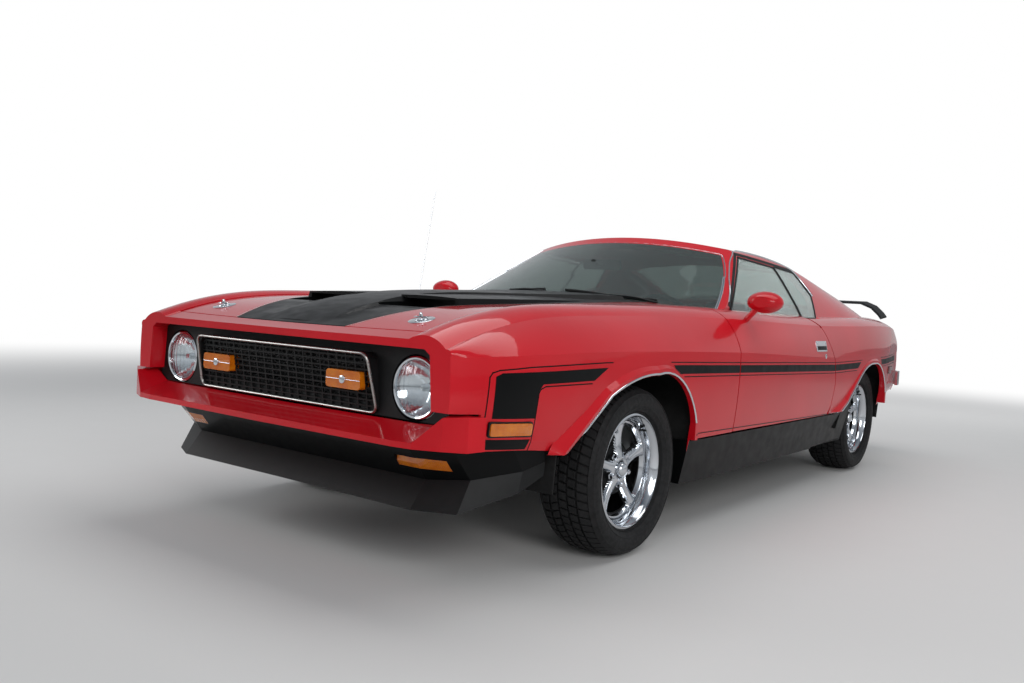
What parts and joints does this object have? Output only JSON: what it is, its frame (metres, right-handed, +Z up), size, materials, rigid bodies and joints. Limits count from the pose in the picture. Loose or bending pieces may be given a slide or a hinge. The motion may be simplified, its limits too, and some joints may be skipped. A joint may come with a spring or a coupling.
{
  "type": "fastback muscle car",
  "caption": "Two-door fastback muscle car with black hood and rear wing, opening doors, hood and boot lid, steered front wheels and wheels that turn.",
  "frame": {"origin": "middle of the car's length and width, on the ground under the tyres", "axes": "+Z up, nose towards -Y, the car's left side towards +X"},
  "size_m": [2.0576, 4.813, 1.4754],
  "materials": {
    "body_paint": "gloss red paint",
    "bumper_paint": "body-coloured flexible bumper",
    "black_paint": "satin black paint",
    "black_plastic": "matt black moulding",
    "clear_glass": "lightly tinted glass",
    "lamp_glass": "fluted lamp glass",
    "amber_lens": "amber lens",
    "red_lens": "dark red lens",
    "chrome": "polished chrome",
    "wheel_chrome": "polished wheel with dark pockets",
    "tyre_rubber": "black rubber",
    "seat_vinyl": "black vinyl",
    "dash_plastic": "grained black plastic",
    "wheel_rim_plastic": "black steering wheel",
    "underbody_paint": "black underbody paint",
    "cast_metal": "bare cast metal",
    "pipe_steel": "dull steel pipe",
    "tank_steel": "galvanised steel"
  },
  "bodies": {
    "car_body": {"front_bumper": "bumper_paint", "nose_panel": "body_paint", "cowl_panel": "body_paint", "windscreen": "clear_glass", "rear_window": "clear_glass", "front_valance": "black_paint", "chin_spoiler": "black_plastic", "parking_lamps": "amber_lens", "headlamps": "lamp_glass", "grille": "black_plastic", "grille_lamps": "amber_lens", "front_crossmember": "underbody_paint", "floor_pan": "underbody_paint", "front_seats": "seat_vinyl", "rear_seat": "seat_vinyl", "dashboard": "dash_plastic", "steering_wheel": "wheel_rim_plastic", "engine_block": "cast_metal", "drive_line": "cast_metal", "rear_axle": "cast_metal", "exhaust": "pipe_steel", "fuel_tank": "tank_steel", "tail_panel": "body_paint", "tail_lamps": "red_lens", "rear_bumper": "chrome", "rear_valance": "black_paint", "antenna": "chrome", "quarter_windows": "clear_glass", "body_shell": "body_paint", "engine_bay": "underbody_paint", "front_fender_left": "body_paint", "front_fender_right": "body_paint", "rocker_left": "black_paint", "rocker_right": "black_paint"},
    "left_door": {"door_left": "body_paint", "door_glass_left": "clear_glass", "mirror_left": "body_paint"},
    "right_door": {"door_right": "body_paint", "door_glass_right": "clear_glass", "mirror_right": "body_paint"},
    "hood_panel": {"hood": "body_paint"},
    "boot_lid": {"trunk_lid": "body_paint", "rear_spoiler": "black_plastic"},
    "left_steering_knuckle": {"knuckle_left": "cast_metal"},
    "right_steering_knuckle": {"knuckle_right": "cast_metal"},
    "front_left_wheel": {"tyre_front_left": "tyre_rubber", "rim_front_left": "wheel_chrome"},
    "front_right_wheel": {"tyre_front_right": "tyre_rubber", "rim_front_right": "wheel_chrome"},
    "rear_left_wheel": {"tyre_rear_left": "tyre_rubber", "rim_rear_left": "wheel_chrome"},
    "rear_right_wheel": {"tyre_rear_right": "tyre_rubber", "rim_rear_right": "wheel_chrome"}
  },
  "joints": [
    {"name": "left_door_hinge", "type": "hinge", "parent": "car_body", "child": "left_door", "pos_m": [0.92, -0.6665, 0.65], "axis": [0, 0, -1], "range_deg": [0, 60]},
    {"name": "right_door_hinge", "type": "hinge", "parent": "car_body", "child": "right_door", "pos_m": [-0.92, -0.6665, 0.65], "axis": [0, 0, 1], "range_deg": [0, 60]},
    {"name": "hood_hinge", "type": "hinge", "parent": "car_body", "child": "hood_panel", "pos_m": [0, -0.6765, 0.893], "axis": [-1, 0, 0], "range_deg": [0, 48]},
    {"name": "boot_lid_hinge", "type": "hinge", "parent": "car_body", "child": "boot_lid", "pos_m": [0, 1.7485, 0.92], "axis": [1, 0, 0], "range_deg": [0, 60]},
    {"name": "left_steer", "type": "hinge", "parent": "car_body", "child": "left_steering_knuckle", "pos_m": [0.7, -1.3965, 0.313], "axis": [0, 0, 1], "range_deg": [-32, 32]},
    {"name": "right_steer", "type": "hinge", "parent": "car_body", "child": "right_steering_knuckle", "pos_m": [-0.7, -1.3965, 0.313], "axis": [0, 0, 1], "range_deg": [-32, 32]},
    {"name": "front_left_wheel_spin", "type": "hinge", "parent": "left_steering_knuckle", "child": "front_left_wheel", "pos_m": [0.781, -1.3965, 0.313], "axis": [1, 0, 0], "continuous": true},
    {"name": "front_right_wheel_spin", "type": "hinge", "parent": "right_steering_knuckle", "child": "front_right_wheel", "pos_m": [-0.781, -1.3965, 0.313], "axis": [1, 0, 0], "continuous": true},
    {"name": "rear_left_wheel_spin", "type": "hinge", "parent": "car_body", "child": "rear_left_wheel", "pos_m": [0.7745, 1.3725, 0.313], "axis": [1, 0, 0], "continuous": true},
    {"name": "rear_right_wheel_spin", "type": "hinge", "parent": "car_body", "child": "rear_right_wheel", "pos_m": [-0.7745, 1.3725, 0.313], "axis": [1, 0, 0], "continuous": true}
  ],
  "couplings": [
    {"joint": "right_steer", "follows": "left_steer", "ratio": 1}
  ]
}
